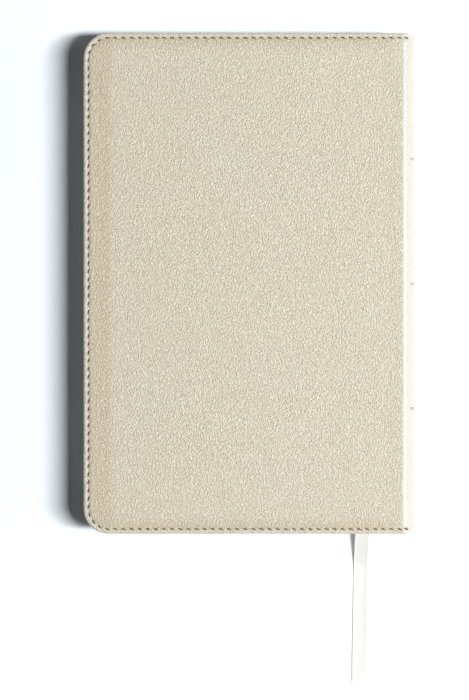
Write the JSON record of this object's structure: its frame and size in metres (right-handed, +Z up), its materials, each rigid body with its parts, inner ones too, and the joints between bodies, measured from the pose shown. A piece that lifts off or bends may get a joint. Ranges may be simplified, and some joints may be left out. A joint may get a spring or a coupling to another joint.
{
  "type": "bible",
  "caption": "Closed flexible-cover Bible lying on its front cover, with edge stitching, rounded spine and sections, opening covers and a ribbon marker.",
  "frame": {"origin": "on the table, under the middle of the closed book's box, without the ribbon's free tail", "axes": "+Z up through the book's thickness from front cover to back cover, +Y towards the head of the pages, +X towards the spine"},
  "size_m": [0.1434, 0.2827, 0.0265],
  "materials": {
    "cover_skin": "pearly champagne leather-like skin with a fine creased grain",
    "board": "thin flexible board",
    "card": "smooth card",
    "endpaper": "smooth cream endpaper",
    "stitch_thread": "twisted polyester thread",
    "kraft_paper": "brown kraft paper",
    "mull_cloth": "open cotton gauze, starched",
    "sewing_thread": "white linen thread",
    "band": "woven ivory band with a beaded edge",
    "ribbon": "off-white double-faced satin",
    "pages": "thin opaque printing paper"
  },
  "bodies": {
    "text_block": {"section_01": "pages", "section_02": "pages", "section_03": "pages", "section_04": "pages", "section_05": "pages", "section_06": "pages", "section_07": "pages", "section_08": "pages", "section_09": "pages", "section_10": "pages", "section_11": "pages", "section_12": "pages", "section_13": "pages", "section_14": "pages", "section_15": "pages", "spine_leather": "cover_skin", "spine_stiffener": "card", "spine_lining": "kraft_paper", "mull": "mull_cloth", "sewing_thread": "sewing_thread", "headband": "band", "tailband": "band", "ribbon_in_book": "ribbon", "ribbon_tail": "ribbon"},
    "front_cover": {"front_leather": "cover_skin", "front_board": "board", "front_infill": "card", "front_pastedown": "endpaper", "front_stitching": "stitch_thread"},
    "front_flyleaf": {"front_flyleaf": "endpaper"},
    "back_cover": {"back_leather": "cover_skin", "back_board": "board", "back_infill": "card", "back_pastedown": "endpaper", "back_stitching": "stitch_thread"},
    "back_flyleaf": {"back_flyleaf": "endpaper"},
    "section_16": {"section_16": "pages"},
    "section_17": {"section_17": "pages"},
    "section_18": {"section_18": "pages"},
    "section_19": {"section_19": "pages"},
    "section_20": {"section_20": "pages"},
    "section_21": {"section_21": "pages"},
    "section_22": {"section_22": "pages"},
    "section_23": {"section_23": "pages"},
    "section_24": {"section_24": "pages"}
  },
  "joints": [
    {"name": "front_cover_hinge", "type": "hinge", "parent": "text_block", "child": "front_cover", "pos_m": [0.0717, 0, 0.00215], "axis": [0, -1, 0], "range_deg": [0, 179.5]},
    {"name": "front_flyleaf_turn", "type": "hinge", "parent": "text_block", "child": "front_flyleaf", "pos_m": [0.0717, 0, 0.00215], "axis": [0, -1, 0], "range_deg": [0, 180]},
    {"name": "back_cover_hinge", "type": "hinge", "parent": "text_block", "child": "back_cover", "pos_m": [0.0717, 0, 0.0161], "axis": [0, 1, 0], "range_deg": [0, 179.5], "deforming": ["spine_leather", "spine_stiffener", "spine_lining", "mull", "sewing_thread", "headband", "tailband"]},
    {"name": "back_flyleaf_turn", "type": "hinge", "parent": "text_block", "child": "back_flyleaf", "pos_m": [0.0717, 0, 0.0161], "axis": [0, 1, 0], "range_deg": [0, 180]},
    {"name": "section_16_turn", "type": "hinge", "parent": "text_block", "child": "section_16", "pos_m": [0.0717, 0, 0.0161], "axis": [0, 1, 0], "range_deg": [0, 180]},
    {"name": "section_17_turn", "type": "hinge", "parent": "text_block", "child": "section_17", "pos_m": [0.0717, 0, 0.0161], "axis": [0, 1, 0], "range_deg": [0, 180]},
    {"name": "section_18_turn", "type": "hinge", "parent": "text_block", "child": "section_18", "pos_m": [0.0717, 0, 0.0161], "axis": [0, 1, 0], "range_deg": [0, 180]},
    {"name": "section_19_turn", "type": "hinge", "parent": "text_block", "child": "section_19", "pos_m": [0.0717, 0, 0.0161], "axis": [0, 1, 0], "range_deg": [0, 180]},
    {"name": "section_20_turn", "type": "hinge", "parent": "text_block", "child": "section_20", "pos_m": [0.0717, 0, 0.0161], "axis": [0, 1, 0], "range_deg": [0, 180]},
    {"name": "section_21_turn", "type": "hinge", "parent": "text_block", "child": "section_21", "pos_m": [0.0717, 0, 0.0161], "axis": [0, 1, 0], "range_deg": [0, 180]},
    {"name": "section_22_turn", "type": "hinge", "parent": "text_block", "child": "section_22", "pos_m": [0.0717, 0, 0.0161], "axis": [0, 1, 0], "range_deg": [0, 180]},
    {"name": "section_23_turn", "type": "hinge", "parent": "text_block", "child": "section_23", "pos_m": [0.0717, 0, 0.0161], "axis": [0, 1, 0], "range_deg": [0, 180]},
    {"name": "section_24_turn", "type": "hinge", "parent": "text_block", "child": "section_24", "pos_m": [0.0717, 0, 0.0161], "axis": [0, 1, 0], "range_deg": [0, 180]}
  ],
  "couplings": [
    {"joint": "front_flyleaf_turn", "follows": "front_cover_hinge", "ratio": 1},
    {"joint": "back_flyleaf_turn", "follows": "back_cover_hinge", "ratio": 0.995},
    {"joint": "section_16_turn", "follows": "back_cover_hinge", "ratio": 0.9},
    {"joint": "section_17_turn", "follows": "back_cover_hinge", "ratio": 0.91},
    {"joint": "section_18_turn", "follows": "back_cover_hinge", "ratio": 0.92},
    {"joint": "section_19_turn", "follows": "back_cover_hinge", "ratio": 0.93},
    {"joint": "section_20_turn", "follows": "back_cover_hinge", "ratio": 0.94},
    {"joint": "section_21_turn", "follows": "back_cover_hinge", "ratio": 0.95},
    {"joint": "section_22_turn", "follows": "back_cover_hinge", "ratio": 0.96},
    {"joint": "section_23_turn", "follows": "back_cover_hinge", "ratio": 0.97},
    {"joint": "section_24_turn", "follows": "back_cover_hinge", "ratio": 0.98}
  ]
}
